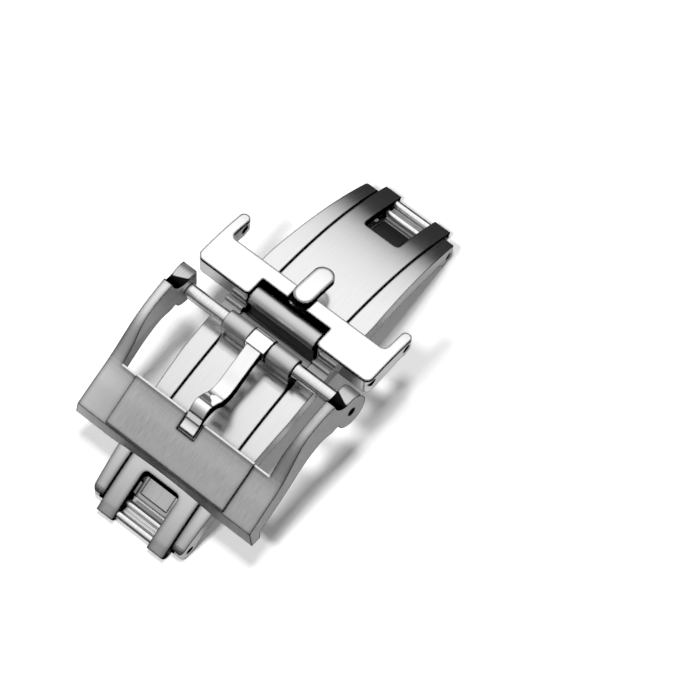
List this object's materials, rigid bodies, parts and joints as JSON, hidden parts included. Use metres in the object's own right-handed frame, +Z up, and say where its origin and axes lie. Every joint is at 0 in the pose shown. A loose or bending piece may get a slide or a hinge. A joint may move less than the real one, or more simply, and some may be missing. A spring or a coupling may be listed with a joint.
{
  "type": "deployant clasp",
  "caption": "Double fold deployant clasp for a leather watch strap, closed, with a brushed pin buckle, polished prong and end piece on a curved steel base with two folding blades",
  "frame": {"origin": "middle of the clasp, on the surface that its four hinge eyes stand on", "axes": "X across the strap, Y along the strap with the buckle at the -Y end, Z up, away from the wrist"},
  "size_m": [0.0238, 0.048, 0.0161],
  "materials": {
    "brushed_steel": "brushed",
    "satin_steel": "satin",
    "polished_steel": "polished",
    "pin_steel": "satin",
    "spring_steel": "satin"
  },
  "bodies": {
    "base": {"base_frame": "satin_steel", "front_leaf_spring": "spring_steel", "rear_leaf_spring": "spring_steel", "leaf_rivets": "pin_steel", "front_hinge_pin": "pin_steel", "rear_hinge_pin": "pin_steel"},
    "front_blade": {"front_blade": "satin_steel", "front_stop_rod": "pin_steel"},
    "rear_blade": {"rear_blade": "satin_steel", "rear_stop_rod": "pin_steel"},
    "buckle": {"buckle_frame": "brushed_steel", "bar_tube": "polished_steel", "bar_plunger_left": "pin_steel", "bar_plunger_right": "pin_steel", "bar_spring": "spring_steel"},
    "prong": {"prong": "polished_steel"},
    "end_piece": {"end_piece": "polished_steel", "end_piece_tab": "polished_steel", "pivot_pin": "pin_steel"}
  },
  "joints": [
    {"name": "front_blade_fold", "type": "hinge", "parent": "base", "child": "front_blade", "pos_m": [0, -0.0215, 0.0013], "axis": [1, 0, 0], "range_deg": [0, 125]},
    {"name": "rear_blade_fold", "type": "hinge", "parent": "base", "child": "rear_blade", "pos_m": [0, 0.0215, 0.0013], "axis": [-1, 0, 0], "range_deg": [0, 125]},
    {"name": "buckle_pivot", "type": "hinge", "parent": "front_blade", "child": "buckle", "pos_m": [0, -0.003, 0.01219], "axis": [-1, 0, 0], "range_deg": [0, 75]},
    {"name": "prong_pivot", "type": "hinge", "parent": "buckle", "child": "prong", "pos_m": [0, -0.003, 0.01219], "axis": [-1, 0, 0], "range_deg": [0, 55]},
    {"name": "end_piece_pivot", "type": "hinge", "parent": "rear_blade", "child": "end_piece", "pos_m": [0, 0.00103, 0.01159], "axis": [1, 0, 0], "range_deg": [0, 40]}
  ]
}
